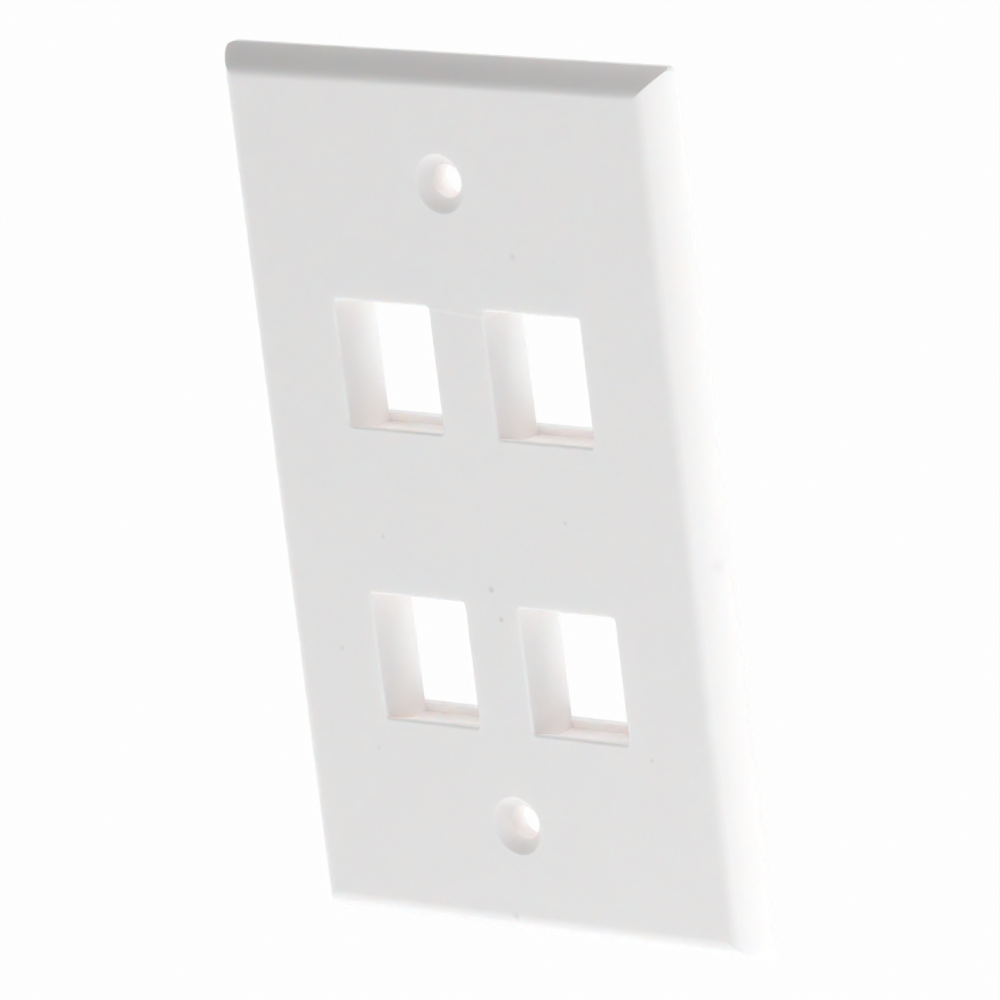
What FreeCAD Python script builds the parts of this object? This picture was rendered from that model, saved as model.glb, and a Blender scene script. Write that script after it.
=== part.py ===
"""Four-port keystone faceplate for a single-gang wall box.

One piece of moulded plastic: a hollow-backed plate with a sloping rim, two
countersunk screw holes on bosses, and four jack ports.  Behind each port a
collar stands out of the back, and holds a jack between two latch bars.

Frame: X is the width and Z the height, both from the middle of the plate.
The back edge of the rim lies in the plane Y = 0, which is the wall, and the
face looks along -Y.  Depth always means the distance behind the face.
"""
import FreeCAD, Part
import Sketcher
import math
import os
import re

doc = FreeCAD.newDocument("keystone_faceplate")

# --------------------------------------------------------- driving sizes, mm
SIZES = (
    # outline and rim
    ("plate_width", 69.85, "overall width, 2 3/4 in"),
    ("plate_height", 114.3, "overall height, 4 1/2 in"),
    ("rim_depth", 5.1, "wall plane to face"),
    ("rim_land", 0.7, "upright strip of the rim next to the wall"),
    ("rim_inset", 3.6, "from the outline to where the flat face starts"),
    ("crease_round", 2.0, "rounding where the face turns into the slope"),
    ("slope_round", 9.0, "gentle bulge of the slope itself"),
    ("corner_round", 0.9, "outline corners"),
    # hollow back
    ("face_wall", 2.3, "thickness of the face"),
    ("rim_wall", 1.8, "thickness of the rim at the wall plane"),
    ("hollow_lean", 1.5, "how far the hollow's sides lean in"),
    ("hollow_corner_round", 1.5, "inside corners of the hollow"),
    ("hollow_floor_round", 0.5, "foot of the hollow's sides"),
    # screw holes
    ("screw_pitch", 83.34, "between the two screw holes, 3 9/32 in"),
    ("screw_bore", 4.4, "clearance for a No. 6 screw"),
    ("sink_diameter", 7.6, "countersink at the face"),
    ("sink_depth", 1.6, "depth of the countersink"),
    ("sink_lip_round", 0.3, "rounded lip of the countersink"),
    ("boss_diameter", 9.4, "boss behind each screw hole"),
    ("boss_depth", 4.2, "face to the back of the boss"),
    # ports
    ("port_width", 15.1, "clear width of a port"),
    ("port_height", 16.5, "clear height of a port at the face"),
    ("column_pitch", 23.7, "between ports side by side"),
    ("row_pitch", 38.4, "between ports one above the other"),
    ("port_drop", 1.8, "middle of the ports below the middle of the plate"),
    ("port_edge_round", 0.4, "rounded front edge of a port"),
    ("port_corner_round", 0.5, "corners of a port's opening"),
    # side walls of a collar
    ("cheek_wall", 1.3, "thickness of the side walls"),
    ("cheek_depth", 8.5, "face to the back edge of the side walls"),
    ("cheek_lead_in", 0.9, "rounded inner corner of that edge"),
    # both latch bars
    ("bar_front", 8.0, "face to the front of the latch bars"),
    ("bar_back", 9.5, "face to the back of the latch bars"),
    ("bar_lead_in", 0.35, "rounded back edge that leads the jack in"),
    ("end_wall", 1.3, "collar wall below the pocket and above the chamber"),
    # lower catch, for the jack's fixed lug
    ("floor_land", 0.6, "level strip behind the front edge"),
    ("pocket_start", 5.2, "depth where the sloping floor meets the pocket"),
    ("pocket_drop", 1.5, "pocket floor below the port's lower edge"),
    ("lower_bar_drop", 0.45, "top of the lower bar below that edge"),
    # upper catch, for the jack's spring latch
    ("ceiling_land", 2.6, "level strip of ceiling behind the front edge"),
    ("chamber_start", 5.2, "depth where the sloping ceiling meets the chamber"),
    ("chamber_rise", 3.7, "chamber roof above the port's upper edge"),
    ("upper_bar_rise", 2.4, "underside of the upper bar above that edge"),
    # edges behind the plate
    ("collar_foot_round", 0.6, "foot of the collars and bosses"),
)

sheet = doc.addObject("Spreadsheet::Sheet", "sizes")
for row, (alias, value, meaning) in enumerate(SIZES, start=1):
    sheet.set("A%d" % row, alias)
    sheet.set("B%d" % row, str(value))
    sheet.set("C%d" % row, meaning)
    sheet.setAlias("B%d" % row, alias)
doc.recompute()

body = doc.addObject("PartDesign::Body", "faceplate")
body.Label = "faceplate"
doc.recompute()

# Margin by which a cutting profile runs past the surface that it opens.
CLEAR = 1.0


def size(alias):
    """The number that the sheet holds under this name."""
    return float(getattr(sheet, alias))


def formula(text):
    """Put the sheet's name before each of its aliases in an expression."""
    return re.sub("[a-z_]+", lambda word: "sizes." + word.group(), text)


def origin_feature(role):
    """One of the body's own planes or axes, by its role."""
    return [f for f in body.Origin.OriginFeatures if f.Role == role][0]


def new_sketch(name, role, **offset):
    """Empty sketch on an origin plane, moved off it by formulas."""
    sketch = body.newObject("Sketcher::SketchObject", name)
    sketch.AttachmentSupport = [(origin_feature(role), "")]
    sketch.MapMode = "FlatFace"
    for axis, text in offset.items():
        sketch.setExpression(".AttachmentOffset.Base." + axis, formula(text))
    return sketch


def dimension(sketch, kind, refs, text, drawn):
    """Constraint that holds the value as drawn, and then follows a formula."""
    number = sketch.addConstraint(Sketcher.Constraint(kind, *refs, drawn))
    sketch.setExpression("Constraints[%d]" % number, formula(text))


def place(sketch, line, end, across, up):
    """Fix one end of a line by its two distances from the sketch's origin."""
    drawn = sketch.getPoint(line, end)
    dimension(sketch, "DistanceX", (-1, 1, line, end), across, drawn.x)
    dimension(sketch, "DistanceY", (-1, 1, line, end), up, drawn.y)


def polygon(sketch, corners):
    """Closed outline; each corner is a pair of formulas."""
    count = len(corners)
    ring = [FreeCAD.Vector(math.cos(2 * math.pi * i / count),
                           math.sin(2 * math.pi * i / count), 0)
            for i in range(count)]
    for i in range(count):
        sketch.addGeometry(Part.LineSegment(ring[i], ring[(i + 1) % count]))
    for i in range(count):
        sketch.addConstraint(Sketcher.Constraint("Coincident", i, 2, (i + 1) % count, 1))
    for i, (across, up) in enumerate(corners):
        place(sketch, i, 1, across, up)


def rectangle(sketch, width, height):
    """Outline centred on the sketch's origin."""
    left, right = "-(%s) / 2" % width, "(%s) / 2" % width
    low, high = "-(%s) / 2" % height, "(%s) / 2" % height
    polygon(sketch, ((left, low), (right, low), (right, high), (left, high)))


def arc(centre, radius, first, last):
    """Arc that runs anticlockwise from its first point to its last."""
    circle = Part.Circle(centre, FreeCAD.Vector(0, 0, 1), radius)
    return Part.ArcOfCircle(circle, circle.parameter(first), circle.parameter(last))


def feature(kind, name, sketch, **settings):
    """Add a feature made from a sketch; text settings are formulas."""
    doc.recompute()
    made = body.newObject("PartDesign::" + kind, name)
    made.Profile = sketch
    for key, setting in settings.items():
        if isinstance(setting, str) and key not in ("Type", "SideType"):
            made.setExpression(key, formula(setting))
        else:
            setattr(made, key, setting)
    doc.recompute()
    return made


def volume():
    """Volume of the body as far as it is built."""
    return 0.0 if body.Shape.isNull() else body.Shape.Volume


def add(kind, name, sketch, **settings):
    """Feature that has to add material."""
    before = volume()
    made = feature(kind, name, sketch, **settings)
    if volume() <= before:
        raise RuntimeError(name + " adds nothing")
    return made


def cut(kind, name, sketch, **settings):
    """Feature that has to remove material."""
    before = volume()
    made = feature(kind, name, sketch, **settings)
    if volume() >= before:
        raise RuntimeError(name + " cuts nothing")
    return made


def mirror(name, originals, plane):
    """Repeat features on the other side of an origin plane."""
    made = body.newObject("PartDesign::Mirrored", name)
    made.Originals = originals
    made.MirrorPlane = (origin_feature(plane), [""])
    body.Tip = made
    doc.recompute()
    return made


def edge_names(edges):
    """Names, in the body as it stands, of these edges."""
    shape = body.Shape
    return ["Edge%d" % (i + 1) for i, edge in enumerate(shape.Edges)
            if any(edge.isSame(other) for other in edges)]


def round_edges(name, edges, radius):
    """Fillet on the body as it stands."""
    made = body.newObject("PartDesign::Fillet", name)
    made.Base = (body.Tip if body.Tip != made else made.BaseFeature, edge_names(edges))
    made.setExpression("Radius", formula(radius))
    body.Tip = made
    doc.recompute()
    return made


def flat_face_at(y):
    """Largest face square to Y at this place."""
    found = [face for face in body.Shape.Faces
             if face.BoundBox.YLength < 1e-6 and abs(face.BoundBox.YMin - y) < 1e-6]
    return max(found, key=lambda face: face.Area)


def is_round(wire):
    """True for a wire that is one full circle."""
    return len(wire.Edges) == 1


def inner_wires(face):
    """The outlines of what breaks through a face."""
    return [wire for wire in face.Wires if not wire.isSame(face.OuterWire)]


def edges_of(wires):
    return [edge for wire in wires for edge in wire.Edges]


# ----------------------------------------------------------- plate and its rim
outline = new_sketch("outline", "XZ_Plane")
rectangle(outline, "plate_width", "plate_height")
add("Pad", "blank", outline, Length="rim_depth")

corner_edges = [edge for edge in body.Shape.Edges if edge.BoundBox.YLength > 1e-6]
round_edges("outline_corners", corner_edges, "corner_round")


def rim_curve():
    """Start of the slope's two arcs, from the edge of the outline inwards.

    Both arcs touch where they meet.  The small one leaves the face
    tangentially, and the large one ends at the top of the land.
    """
    small, large = size("crease_round"), size("slope_round")
    inset, drop = size("rim_inset"), size("rim_depth") - size("rim_land")
    reach = math.hypot(inset, drop - small)
    along = ((large - small) ** 2 - large ** 2 + reach ** 2) / (2 * reach)
    aside = math.sqrt((large - small) ** 2 - along ** 2)
    toward = FreeCAD.Vector(inset / reach, (drop - small) / reach, 0)
    normal = FreeCAD.Vector(-toward.y, toward.x, 0)
    small_centre = FreeCAD.Vector(-inset, small, 0)
    large_centre = small_centre + toward * along + normal * aside
    meeting = large_centre + (small_centre - large_centre).normalize() * large
    return small_centre, large_centre, meeting


def slope_profile(sketch, half_extent, start):
    """What the mould leaves out beyond the sloping rim, on one side.

    The sketch's X axis points out of the plate and its Y axis to the wall.
    """
    small_centre, large_centre, meeting = rim_curve()
    edge, face = size(start) / 2, -size("rim_depth")
    shift = FreeCAD.Vector(edge, face, 0)
    face_end = FreeCAD.Vector(edge - size("rim_inset"), face, 0)
    land_top = FreeCAD.Vector(edge, -size("rim_land"), 0)
    out = FreeCAD.Vector(CLEAR, 0, 0)
    up = FreeCAD.Vector(0, -CLEAR, 0)
    sketch.addGeometry(Part.LineSegment(face_end, face_end + up))
    sketch.addGeometry(Part.LineSegment(face_end + up, shift + out + up))
    sketch.addGeometry(Part.LineSegment(shift + out + up, land_top + out))
    sketch.addGeometry(Part.LineSegment(land_top + out, land_top))
    sketch.addGeometry(arc(large_centre + shift, size("slope_round"), meeting + shift, land_top))
    sketch.addGeometry(arc(small_centre + shift, size("crease_round"), face_end, meeting + shift))
    line_up, line_out, line_down, line_in, slope, crease = range(6)
    for first, second in ((line_up, line_out), (line_out, line_down), (line_down, line_in)):
        sketch.addConstraint(Sketcher.Constraint("Coincident", first, 2, second, 1))
    sketch.addConstraint(Sketcher.Constraint("Coincident", line_in, 2, slope, 2))
    sketch.addConstraint(Sketcher.Constraint("Tangent", slope, 1, crease, 2))
    sketch.addConstraint(Sketcher.Constraint("Perpendicular", crease, 1, line_up, 1))
    sketch.addConstraint(Sketcher.Constraint("Vertical", line_up))
    sketch.addConstraint(Sketcher.Constraint("Horizontal", line_out))
    sketch.addConstraint(Sketcher.Constraint("Vertical", line_down))
    sketch.addConstraint(Sketcher.Constraint("Horizontal", line_in))
    place(sketch, line_up, 1, "%s - rim_inset" % half_extent, "-rim_depth")
    place(sketch, line_out, 2, "%s + %g" % (half_extent, CLEAR), "-rim_depth - %g" % CLEAR)
    place(sketch, slope, 2, half_extent, "-rim_land")
    dimension(sketch, "Radius", (crease,), "crease_round", size("crease_round"))
    dimension(sketch, "Radius", (slope,), "slope_round", size("slope_round"))


side_slope = new_sketch("side_slope", "XY_Plane")
slope_profile(side_slope, "plate_width / 2", "plate_width")
side_cut = cut("Pocket", "side_slope_cut", side_slope, SideType="Symmetric", Length="plate_height * 2")
mirror("other_side_slope", [side_cut], "YZ_Plane")

end_slope = new_sketch("end_slope", "YZ_Plane")
end_slope.AttachmentOffset = FreeCAD.Placement(
    FreeCAD.Vector(0, 0, 0), FreeCAD.Rotation(FreeCAD.Vector(1, 1, 0), 180))
slope_profile(end_slope, "plate_height / 2", "plate_height")
end_cut = cut("Pocket", "end_slope_cut", end_slope, SideType="Symmetric", Length="plate_width * 2")
mirror("other_end_slope", [end_cut], "XY_Plane")

# ------------------------------------------------------------- hollow back
hollow_mouth = new_sketch("hollow_mouth", "XZ_Plane")
rectangle(hollow_mouth, "plate_width - 2 * rim_wall", "plate_height - 2 * rim_wall")
hollow_floor = new_sketch("hollow_floor", "XZ_Plane", z="rim_depth - face_wall")
rectangle(hollow_floor, "plate_width - 2 * (rim_wall + hollow_lean)",
          "plate_height - 2 * (rim_wall + hollow_lean)")
cut("SubtractiveLoft", "hollow", hollow_mouth, Sections=[hollow_floor], Ruled=True)


def hollow_back():
    """The floor of the hollow, which is the back of the face."""
    return flat_face_at(size("face_wall") - size("rim_depth"))


def leaning_edges():
    """Edges that run up from the hollow's floor to the wall plane."""
    floor_corners = [vertex.Point for vertex in hollow_back().OuterWire.Vertexes]
    return [edge for edge in body.Shape.Edges
            if edge.BoundBox.YLength > CLEAR
            and any(vertex.Point.isEqual(corner, 1e-6)
                    for vertex in edge.Vertexes for corner in floor_corners)]


round_edges("hollow_corners", leaning_edges(), "hollow_corner_round")

# --------------------------------------------------- screw holes and bosses
boss_outline = new_sketch("boss_outline", "XZ_Plane", z="rim_depth - boss_depth")
boss_outline.addGeometry(Part.Circle(
    FreeCAD.Vector(0, size("screw_pitch") / 2, 0), FreeCAD.Vector(0, 0, 1),
    size("boss_diameter") / 2))
boss_outline.addConstraint(Sketcher.Constraint("PointOnObject", 0, 3, -2))
dimension(boss_outline, "DistanceY", (-1, 1, 0, 3), "screw_pitch / 2", size("screw_pitch") / 2)
dimension(boss_outline, "Diameter", (0,), "boss_diameter", size("boss_diameter"))
boss = add("Pad", "boss", boss_outline, Length="boss_depth - face_wall / 2")

# The bore's half section: its first axis is depth, its second the radius.
bore_section = new_sketch("bore_section", "YZ_Plane", x="-rim_depth", y="screw_pitch / 2")
polygon(bore_section, (
    ("-%g" % CLEAR, "0"),
    ("boss_depth + %g" % CLEAR, "0"),
    ("boss_depth + %g" % CLEAR, "screw_bore / 2"),
    ("sink_depth", "screw_bore / 2"),
    ("0", "sink_diameter / 2"),
    ("-%g" % CLEAR, "sink_diameter / 2")))
bore = cut("Groove", "countersunk_bore", bore_section, Angle=360.0,
           ReferenceAxis=(bore_section, ["H_Axis"]))
mirror("other_screw_hole", [boss, bore], "XY_Plane")

# -------------------------------------------------------------------- ports
# One port is made, at the lower left, and then repeated across and up.
PORT_PLACE = {"x": "-rim_depth", "y": "-port_drop - row_pitch / 2", "z": "-column_pitch / 2"}
FLOOR = "-port_height / 2"
CEILING = "port_height / 2"
COLLAR_BOTTOM = FLOOR + " - pocket_drop - end_wall"
COLLAR_TOP = CEILING + " + chamber_rise + end_wall"
LOWER_BAR = FLOOR + " - lower_bar_drop"
UPPER_BAR = CEILING + " + upper_bar_rise"

# Side view of the collar: depth first, then height from the port's middle.
collar_side = new_sketch("collar_side", "YZ_Plane", **PORT_PLACE)
polygon(collar_side, (
    ("face_wall / 2", COLLAR_BOTTOM),
    ("bar_back", COLLAR_BOTTOM),
    ("bar_back", LOWER_BAR),
    ("cheek_depth", LOWER_BAR),
    ("cheek_depth", UPPER_BAR),
    ("bar_back", UPPER_BAR),
    ("bar_back", COLLAR_TOP),
    ("face_wall / 2", COLLAR_TOP)))
collar = add("Pad", "collar", collar_side, SideType="Symmetric",
             Length="port_width + 2 * cheek_wall")

# Side view of the space inside, from behind the front opening to the wall box.
port_side = new_sketch("port_side", "YZ_Plane", **PORT_PLACE)
polygon(port_side, (
    ("floor_land", FLOOR),
    ("pocket_start", FLOOR + " - pocket_drop"),
    ("bar_front", FLOOR + " - pocket_drop"),
    ("bar_front", LOWER_BAR),
    ("bar_back + %g" % CLEAR, LOWER_BAR),
    ("bar_back + %g" % CLEAR, UPPER_BAR),
    ("bar_front", UPPER_BAR),
    ("bar_front", CEILING + " + chamber_rise"),
    ("chamber_start", CEILING + " + chamber_rise"),
    ("ceiling_land", CEILING),
    ("floor_land", CEILING)))
port_space = cut("Pocket", "port_space", port_side, SideType="Symmetric", Length="port_width")


def cheek_corner(sketch, side):
    """Plan view of what the round takes off one side wall's inner back corner."""
    edge, back, turn = side * size("port_width") / 2, size("cheek_depth"), size("cheek_lead_in")
    start = FreeCAD.Vector(edge, back - turn, 0)
    end = FreeCAD.Vector(edge + side * turn, back, 0)
    centre = FreeCAD.Vector(end.x, start.y, 0)
    behind = FreeCAD.Vector(end.x, back + CLEAR, 0)
    inside = FreeCAD.Vector(edge - side * CLEAR, back + CLEAR, 0)
    beside = FreeCAD.Vector(inside.x, start.y, 0)
    ring = (end, behind, inside, beside, start)
    first = sketch.GeometryCount
    lines = range(first, first + len(ring) - 1)
    for line, (tail, head) in enumerate(zip(ring, ring[1:]), start=first):
        sketch.addGeometry(Part.LineSegment(tail, head))
        if line > first:
            sketch.addConstraint(Sketcher.Constraint("Coincident", line - 1, 2, line, 1))
    # An arc runs anticlockwise, so its two ends swap over on the other side.
    curve, ends, at_end, at_start = lines[-1] + 1, (end, start), 1, 2
    if side < 0:
        ends, at_end, at_start = (start, end), 2, 1
    sketch.addGeometry(arc(centre, turn, *ends))
    sketch.addConstraint(Sketcher.Constraint("Coincident", lines[0], 1, curve, at_end))
    sketch.addConstraint(Sketcher.Constraint("Coincident", lines[-1], 2, curve, at_start))
    edge_text = "%d * port_width / 2" % side
    out_text = "%s + %d * cheek_lead_in" % (edge_text, side)
    in_text = "%s - %g" % (edge_text, side * CLEAR)
    behind_text = "cheek_depth + %g" % CLEAR
    places = ((out_text, "cheek_depth"), (out_text, behind_text), (in_text, behind_text),
              (in_text, "cheek_depth - cheek_lead_in"))
    for line, (across, up) in zip(lines, places):
        place(sketch, line, 1, across, up)
    place(sketch, lines[-1], 2, edge_text, "cheek_depth - cheek_lead_in")
    dimension(sketch, "Radius", (curve,), "cheek_lead_in", turn)


cheek_corners = new_sketch(
    "cheek_corners", "XY_Plane", x="-column_pitch / 2", y="-rim_depth",
    z="-port_drop - row_pitch / 2 + (upper_bar_rise - lower_bar_drop) / 2")
for side in (-1, 1):
    cheek_corner(cheek_corners, side)
cheek_lead_in = cut("Pocket", "cheek_lead_in", cheek_corners, SideType="Symmetric",
                    Length="port_height + lower_bar_drop + upper_bar_rise")


def rounded_rectangle(sketch, width, height, radius, middle):
    """Outline with rounded corners; middle is a pair of formulas."""
    half_width, half_height, turn = size(width) / 2, size(height) / 2, size(radius)
    corners = ((1, -1), (1, 1), (-1, 1), (-1, -1))
    for quarter, (right, up) in enumerate(corners):
        centre = FreeCAD.Vector(right * (half_width - turn), up * (half_height - turn), 0)
        start = (quarter - 1) * math.pi / 2
        circle = Part.Circle(centre, FreeCAD.Vector(0, 0, 1), turn)
        sketch.addGeometry(Part.ArcOfCircle(circle, start, start + math.pi / 2))
    for quarter in range(4):
        following = (quarter + 1) % 4
        sketch.addGeometry(Part.LineSegment(
            sketch.getPoint(quarter, 2), sketch.getPoint(following, 1)))
    for quarter in range(4):
        side, following = quarter + 4, (quarter + 1) % 4
        sketch.addConstraint(Sketcher.Constraint("Tangent", quarter, 2, side, 1))
        sketch.addConstraint(Sketcher.Constraint("Tangent", side, 2, following, 1))
        sketch.addConstraint(Sketcher.Constraint("Vertical" if quarter % 2 == 0 else "Horizontal", side))
    for quarter in range(3):
        sketch.addConstraint(Sketcher.Constraint("Equal", quarter, quarter + 1))
    right_side, top_side, left_side, low_side = 4, 5, 6, 7
    dimension(sketch, "Radius", (0,), radius, turn)
    across, up = middle
    for side, kind, text, drawn in (
            (right_side, "DistanceX", "%s + %s / 2" % (across, width), half_width),
            (left_side, "DistanceX", "%s - %s / 2" % (across, width), -half_width),
            (top_side, "DistanceY", "%s + %s / 2" % (up, height), half_height),
            (low_side, "DistanceY", "%s - %s / 2" % (up, height), -half_height)):
        dimension(sketch, kind, (-1, 1, side, 1), text, drawn)


opening_outline = new_sketch("opening_outline", "XZ_Plane", z="rim_depth")
rounded_rectangle(opening_outline, "port_width", "port_height", "port_corner_round",
                  ("-column_pitch / 2", "-port_drop - row_pitch / 2"))
opening = cut("Pocket", "opening", opening_outline, Length="floor_land")

ports = body.newObject("PartDesign::LinearPattern", "four_ports")
ports.Originals = [collar, port_space, cheek_lead_in, opening]
ports.Direction = (origin_feature("X_Axis"), [""])
ports.Direction2 = (origin_feature("Z_Axis"), [""])
ports.Occurrences = 2
ports.Occurrences2 = 2
ports.setExpression("Length", formula("column_pitch"))
ports.setExpression("Length2", formula("row_pitch"))
body.Tip = ports
doc.recompute()

# ------------------------------------------------------------ rounded edges
face_wires = inner_wires(flat_face_at(-size("rim_depth")))
round_edges("port_front_edges", edges_of(w for w in face_wires if not is_round(w)),
            "port_edge_round")
face_wires = inner_wires(flat_face_at(-size("rim_depth")))
round_edges("countersink_lips", edges_of(w for w in face_wires if is_round(w)),
            "sink_lip_round")
round_edges("collar_feet", edges_of(inner_wires(hollow_back())), "collar_foot_round")
round_edges("hollow_foot", hollow_back().OuterWire.Edges, "hollow_floor_round")


def bar_lead_edges():
    """Back edges of the latch bars, on the side that the jack slides past."""
    rows = [size("row_pitch") * up / 2 - size("port_drop") for up in (-1, 1)]
    half = size("port_height") / 2
    heights = ([row - half - size("lower_bar_drop") for row in rows]
               + [row + half + size("upper_bar_rise") for row in rows])
    back = size("bar_back") - size("rim_depth")
    return [edge for edge in body.Shape.Edges
            if abs(edge.BoundBox.YMin - back) < 1e-6 and edge.BoundBox.YLength < 1e-6
            and edge.BoundBox.ZLength < 1e-6
            and any(abs(edge.BoundBox.ZMin - height) < 1e-6 for height in heights)]


round_edges("bar_lead_ins", bar_lead_edges(), "bar_lead_in")

# -------------------------------------------------------------------- output
doc.recompute()
for item in doc.Objects:
    if "Invalid" in item.State or "Error" in item.State:
        raise RuntimeError("%s failed: %s" % (item.Name, item.State))
if body.Shape.isNull() or not body.Shape.isValid() or len(body.Shape.Solids) != 1:
    raise RuntimeError("faceplate is not one valid solid")
os.makedirs("parts", exist_ok=True)
body.Shape.exportStep("parts/%s.step" % body.Label)
print("%s: %.0f mm3" % (body.Label, body.Shape.Volume))
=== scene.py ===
"""Keystone faceplate: the moulded plate's finish, the studio around it and the camera."""
import bpy
import math
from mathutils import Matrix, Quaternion, Vector


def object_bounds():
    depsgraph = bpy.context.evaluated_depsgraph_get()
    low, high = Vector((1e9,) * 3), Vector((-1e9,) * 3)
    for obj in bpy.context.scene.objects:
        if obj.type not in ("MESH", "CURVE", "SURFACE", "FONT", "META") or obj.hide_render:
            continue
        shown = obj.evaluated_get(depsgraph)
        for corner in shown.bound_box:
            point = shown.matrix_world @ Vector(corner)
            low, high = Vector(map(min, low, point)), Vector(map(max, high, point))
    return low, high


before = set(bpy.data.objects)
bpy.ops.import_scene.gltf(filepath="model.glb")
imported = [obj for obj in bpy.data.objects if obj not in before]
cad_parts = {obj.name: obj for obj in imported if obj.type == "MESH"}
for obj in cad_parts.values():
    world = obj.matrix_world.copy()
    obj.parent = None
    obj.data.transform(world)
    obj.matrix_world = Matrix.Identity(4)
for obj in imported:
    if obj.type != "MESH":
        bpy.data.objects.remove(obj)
cad_low, cad_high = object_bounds()

# ------------------------------------------------------------------- camera
# A long lens looks at the front from the right and a little above, and the
# camera itself leans a few degrees.
camera_azimuth = math.radians(39.9)
camera_elevation = math.radians(15.4)
camera_roll = math.radians(-6.94)
camera_distance = 1.166
aim_right, aim_up = 0.00356, 0.00135
aim = Vector((aim_right, cad_low.y, aim_up))

backwards = Vector((math.sin(camera_azimuth) * math.cos(camera_elevation),
                    -math.cos(camera_azimuth) * math.cos(camera_elevation),
                    math.sin(camera_elevation)))
bpy.ops.object.camera_add()
camera = bpy.context.object
camera.name = "camera"
camera.rotation_mode = "QUATERNION"
camera.location = aim + backwards * camera_distance
level_turn = (-backwards).to_track_quat("-Z", "Y")
camera.rotation_quaternion = level_turn @ Quaternion((0, 0, 1), camera_roll)
camera.data.lens = 338.7
camera.data.sensor_width = 36
camera.data.clip_start = 0.05
camera.data.clip_end = 20
bpy.context.scene.camera = camera

# ---------------------------------------------------------------- faceplate
# The whole plate is one piece of glossy white moulded plastic, so thin that
# it glows a little where lamps stand behind it. The face carries a few
# specks of dirt, and a flow line of the moulding between the upper ports.
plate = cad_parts["faceplate"]

plastic = bpy.data.materials.new("white moulded plastic")
plastic.use_nodes = True
nodes, links = plastic.node_tree.nodes, plastic.node_tree.links
shader = nodes["Principled BSDF"]
shader.inputs["IOR"].default_value = 1.5
shader.inputs["Subsurface Weight"].default_value = 0.6
shader.inputs["Subsurface Radius"].default_value = (1.0, 0.7, 0.55)
shader.inputs["Subsurface Scale"].default_value = 0.0015
where = nodes.new("ShaderNodeTexCoord")


def noise(scale, detail=2, roughness=0.5):
    """Noise on the plate's own coordinates, as a value round a half."""
    cloud = nodes.new("ShaderNodeTexNoise")
    cloud.inputs["Scale"].default_value = scale
    cloud.inputs["Detail"].default_value = detail
    cloud.inputs["Roughness"].default_value = roughness
    links.new(where.outputs["Object"], cloud.inputs["Vector"])
    return cloud.outputs["Fac"]


def remap(value, start, end, first, last):
    """Map a value from start..end to first..last and hold it there."""
    scale = nodes.new("ShaderNodeMapRange")
    scale.inputs["From Min"].default_value = start
    scale.inputs["From Max"].default_value = end
    scale.inputs["To Min"].default_value = first
    scale.inputs["To Max"].default_value = last
    links.new(value, scale.inputs["Value"])
    return scale


def mix(share, under, over):
    """Lay a colour over another by a share from 0 to 1."""
    layer = nodes.new("ShaderNodeMix")
    layer.data_type = "RGBA"
    layer.inputs["B"].default_value = over
    links.new(share, layer.inputs["Factor"])
    links.new(under, layer.inputs["A"])
    return layer.outputs["Result"]


# the plastic's own colour drifts a little, from millimetres to centimetres
shade = nodes.new("ShaderNodeValToRGB")
shade.color_ramp.elements[0].position = 0.3
shade.color_ramp.elements[0].color = (0.830, 0.837, 0.842, 1)
shade.color_ramp.elements[1].position = 0.7
shade.color_ramp.elements[1].color = (0.842, 0.847, 0.852, 1)
links.new(noise(scale=120, detail=8, roughness=0.75), shade.inputs["Fac"])

# painted bounce light: where ambient occlusion finds the ports and corners hidden, the colour is
# painted lighter and warmer, standing in for light that bounces about there
recess = nodes.new("ShaderNodeAmbientOcclusion")
recess.samples = 8
recess.inputs["Distance"].default_value = 0.012
bounce_light_share = remap(recess.outputs["AO"], start=0.88, end=0.45, first=0, last=1)
painted_bounce_light = mix(bounce_light_share.outputs["Result"], under=shade.outputs["Color"], over=(0.945, 0.900, 0.893, 1))

# flow line: a hair lighter, and falling slightly from one port to the other
line_height, line_half_width, line_fall = 0.0251, 0.0002, 0.078
line_reach = 0.0045
axes = nodes.new("ShaderNodeSeparateXYZ")
links.new(where.outputs["Object"], axes.inputs[0])
level = nodes.new("ShaderNodeMath")
level.operation = "MULTIPLY_ADD"
level.inputs[1].default_value = line_fall
links.new(axes.outputs["X"], level.inputs[0])
links.new(axes.outputs["Z"], level.inputs[2])
near_line = nodes.new("ShaderNodeMath")
near_line.operation = "COMPARE"
near_line.inputs[1].default_value = line_height
near_line.inputs[2].default_value = line_half_width
links.new(level.outputs[0], near_line.inputs[0])
in_reach = nodes.new("ShaderNodeMath")
in_reach.operation = "COMPARE"
in_reach.inputs[1].default_value = 0
in_reach.inputs[2].default_value = line_reach
links.new(axes.outputs["X"], in_reach.inputs[0])
on_line = nodes.new("ShaderNodeMath")
on_line.operation = "MULTIPLY"
links.new(near_line.outputs[0], on_line.inputs[0])
links.new(in_reach.outputs[0], on_line.inputs[1])
faint = nodes.new("ShaderNodeMath")
faint.operation = "MULTIPLY"
faint.inputs[1].default_value = 0.3
links.new(on_line.outputs[0], faint.inputs[0])
colour = mix(faint.outputs[0], under=painted_bounce_light, over=(0.95, 0.95, 0.95, 1))

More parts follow.
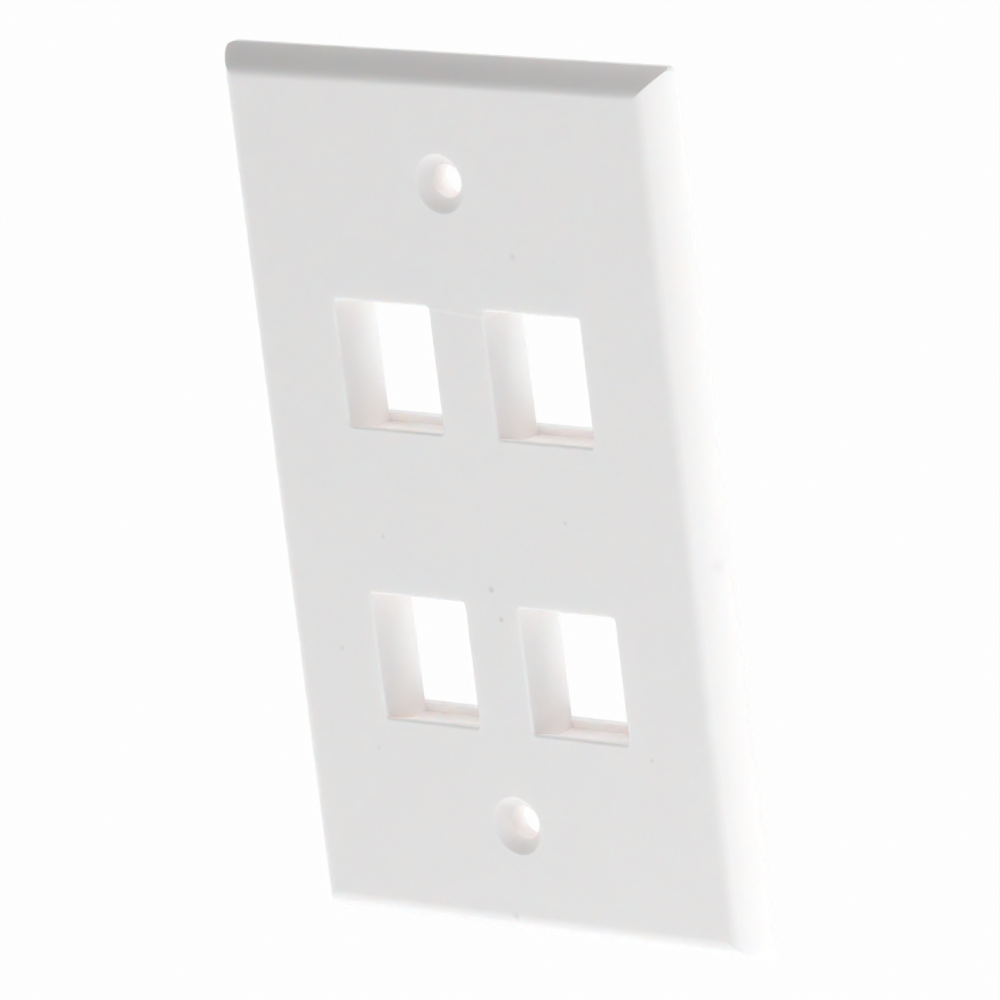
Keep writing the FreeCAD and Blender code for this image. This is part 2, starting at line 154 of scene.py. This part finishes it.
# specks of dirt: place across, behind the face and up, then radius (m), strength
specks = (
    ("above the right ports", (0.0102, 0.0, 0.0330), 0.0007, 0.17),
    ("below the upper right port", (0.0135, 0.0, -0.0009), 0.0005, 0.18),
    ("above the lower left port", (-0.0161, 0.0, -0.0050), 0.0004, 0.22),
    ("between the lower ports", (0.0004, 0.0, -0.0106), 0.0006, 0.30),
    ("further down between them", (0.0014, 0.0, -0.0144), 0.0006, 0.28),
    ("left of the lower left port", (-0.0252, 0.0, -0.0205), 0.0005, 0.18),
    ("right of the lower right port", (0.0228, 0.0, -0.0308), 0.0005, 0.18),
    ("below the lower left port", (-0.0212, 0.0, -0.0334), 0.0006, 0.12),
    ("bottom edge", (-0.0020, 0.0004, -0.0538), 0.0008, 0.30),
    ("right slope", (0.0341, 0.0030, -0.0056), 0.0014, 0.09),
)
dirt = (0.30, 0.25, 0.22, 1)
for name, (across, behind, up), radius, strength in specks:
    away = nodes.new("ShaderNodeVectorMath")
    away.operation = "DISTANCE"
    away.label = name
    away.inputs[1].default_value = (across, cad_low.y + behind, up)
    links.new(where.outputs["Object"], away.inputs[0])
    mark = remap(away.outputs["Value"], start=0, end=radius, first=strength, last=0)
    mark.interpolation_type = "SMOOTHSTEP"
    colour = mix(mark.outputs["Result"], under=colour, over=dirt)
links.new(colour, shader.inputs["Base Color"])

# handling leaves the gloss uneven
gloss = remap(noise(scale=120, detail=4), start=0.3, end=0.7, first=0.28, last=0.36)
links.new(gloss.outputs["Result"], shader.inputs["Roughness"])

# moulded skin: fine grain over slow sink marks
grain = nodes.new("ShaderNodeBump")
grain.inputs["Strength"].default_value = 0.05
grain.inputs["Distance"].default_value = 0.00005
links.new(noise(scale=2200), grain.inputs["Height"])
sink = nodes.new("ShaderNodeBump")
sink.inputs["Strength"].default_value = 0.1
sink.inputs["Distance"].default_value = 0.0004
links.new(noise(scale=40, detail=0), sink.inputs["Height"])
links.new(grain.outputs["Normal"], sink.inputs["Normal"])
links.new(sink.outputs["Normal"], shader.inputs["Normal"])
plate.data.materials.clear()
plate.data.materials.append(plastic)

# ------------------------------------------------------------------- studio
# White floor and white surroundings, with soft lamps on every side of the
# plate. The top gets the least light, and three small lamps stand close by.
floor_drop = 0.7
bpy.ops.mesh.primitive_plane_add(size=8, location=(0, 0, cad_low.z - floor_drop))
floor = bpy.context.object
floor.name = "floor"
paper = bpy.data.materials.new("white paper")
paper.use_nodes = True
nodes, links = paper.node_tree.nodes, paper.node_tree.links
sheet_surface = nodes["Principled BSDF"]
sheet_surface.inputs["Base Color"].default_value = (0.8, 0.8, 0.8, 1)
sheet_surface.inputs["Roughness"].default_value = 1
sheet_glow = nodes.new("ShaderNodeEmission")
sheet_glow.inputs["Color"].default_value = (1, 1, 1, 1)
sheet_glow.inputs["Strength"].default_value = 1
light_path = nodes.new("ShaderNodeLightPath")
seen = nodes.new("ShaderNodeMath")
seen.operation = "MAXIMUM"
links.new(light_path.outputs["Is Camera Ray"], seen.inputs[0])
links.new(light_path.outputs["Is Glossy Ray"], seen.inputs[1])
share = nodes.new("ShaderNodeMath")
share.operation = "MULTIPLY"
share.inputs[1].default_value = 0.985
links.new(seen.outputs[0], share.inputs[0])
mixed = nodes.new("ShaderNodeMixShader")
links.new(share.outputs[0], mixed.inputs["Fac"])
links.new(sheet_surface.outputs[0], mixed.inputs[1])
links.new(sheet_glow.outputs[0], mixed.inputs[2])
links.new(mixed.outputs[0], nodes["Material Output"].inputs["Surface"])
floor.data.materials.append(paper)

# The surroundings are white where they are seen, and reflections find them
# darker overhead. They give no light of their own.
world = bpy.data.worlds.new("studio")
bpy.context.scene.world = world
world.use_nodes = True
nodes, links = world.node_tree.nodes, world.node_tree.links
around = nodes["Background"]
around.inputs["Color"].default_value = (1, 1, 1, 1)
light_path = nodes.new("ShaderNodeLightPath")
direction = nodes.new("ShaderNodeTexCoord")
parts = nodes.new("ShaderNodeSeparateXYZ")
links.new(direction.outputs["Generated"], parts.inputs[0])
overhead = remap(parts.outputs["Z"], start=0.2, end=0.8, first=1.0, last=0.2)
reflected = nodes.new("ShaderNodeMath")
reflected.operation = "MULTIPLY"
links.new(light_path.outputs["Is Glossy Ray"], reflected.inputs[0])
links.new(overhead.outputs[0], reflected.inputs[1])
brightness = nodes.new("ShaderNodeMath")
brightness.operation = "MAXIMUM"
links.new(light_path.outputs["Is Camera Ray"], brightness.inputs[0])
links.new(reflected.outputs[0], brightness.inputs[1])
links.new(brightness.outputs[0], around.inputs["Strength"])


def soft_lamp(name, place, width, power):
    """Square area lamp at a place in metres, turned towards the plate.

    It lights surfaces, and reflections don't find it.
    """
    bpy.ops.object.light_add(type="AREA", location=place)
    lamp = bpy.context.object
    lamp.name = name
    lamp.data.size = width
    lamp.data.energy = power
    lamp.visible_camera = False
    lamp.visible_glossy = False
    lamp.rotation_euler = (-Vector(place)).to_track_quat("-Z", "Y").to_euler()
    return lamp


soft_lamp("lamp front", place=(0.5, -0.87, 0.0), width=0.8, power=3.1)
soft_lamp("lamp front high", place=(0.0, -0.64, 0.77), width=0.8, power=3.4)
soft_lamp("lamp left low", place=(-0.75, -0.43, -0.5), width=0.8, power=7.1)
soft_lamp("lamp left behind", place=(-0.91, 0.42, 0.0), width=0.8, power=5.8)
soft_lamp("lamp right", place=(0.95, 0.26, -0.17), width=0.8, power=2.4)
soft_lamp("lamp right low", place=(0.85, 0.15, -0.5), width=0.8, power=5.4)
soft_lamp("lamp behind", place=(0.0, 0.84, 0.54), width=0.5, power=4.0)
soft_lamp("lamp behind low", place=(0.0, 0.38, -0.65), width=0.6, power=2.0)
soft_lamp("lamp near behind", place=(0.15, 0.10, 0.20), width=0.15, power=0.2)
soft_lamp("lamp near right low", place=(0.25, -0.12, -0.15), width=0.2, power=0.146)
soft_lamp("lamp near front low", place=(0.15, -0.35, -0.25), width=0.2, power=0.2)

# This one is found only by reflections: the glint along the top crease.
glint = soft_lamp("lamp glint", place=(-0.205, -0.33, 0.10), width=0.12, power=0.145)
glint.visible_glossy = True
glint.visible_diffuse = False

bpy.context.scene.view_settings.view_transform = "Standard"
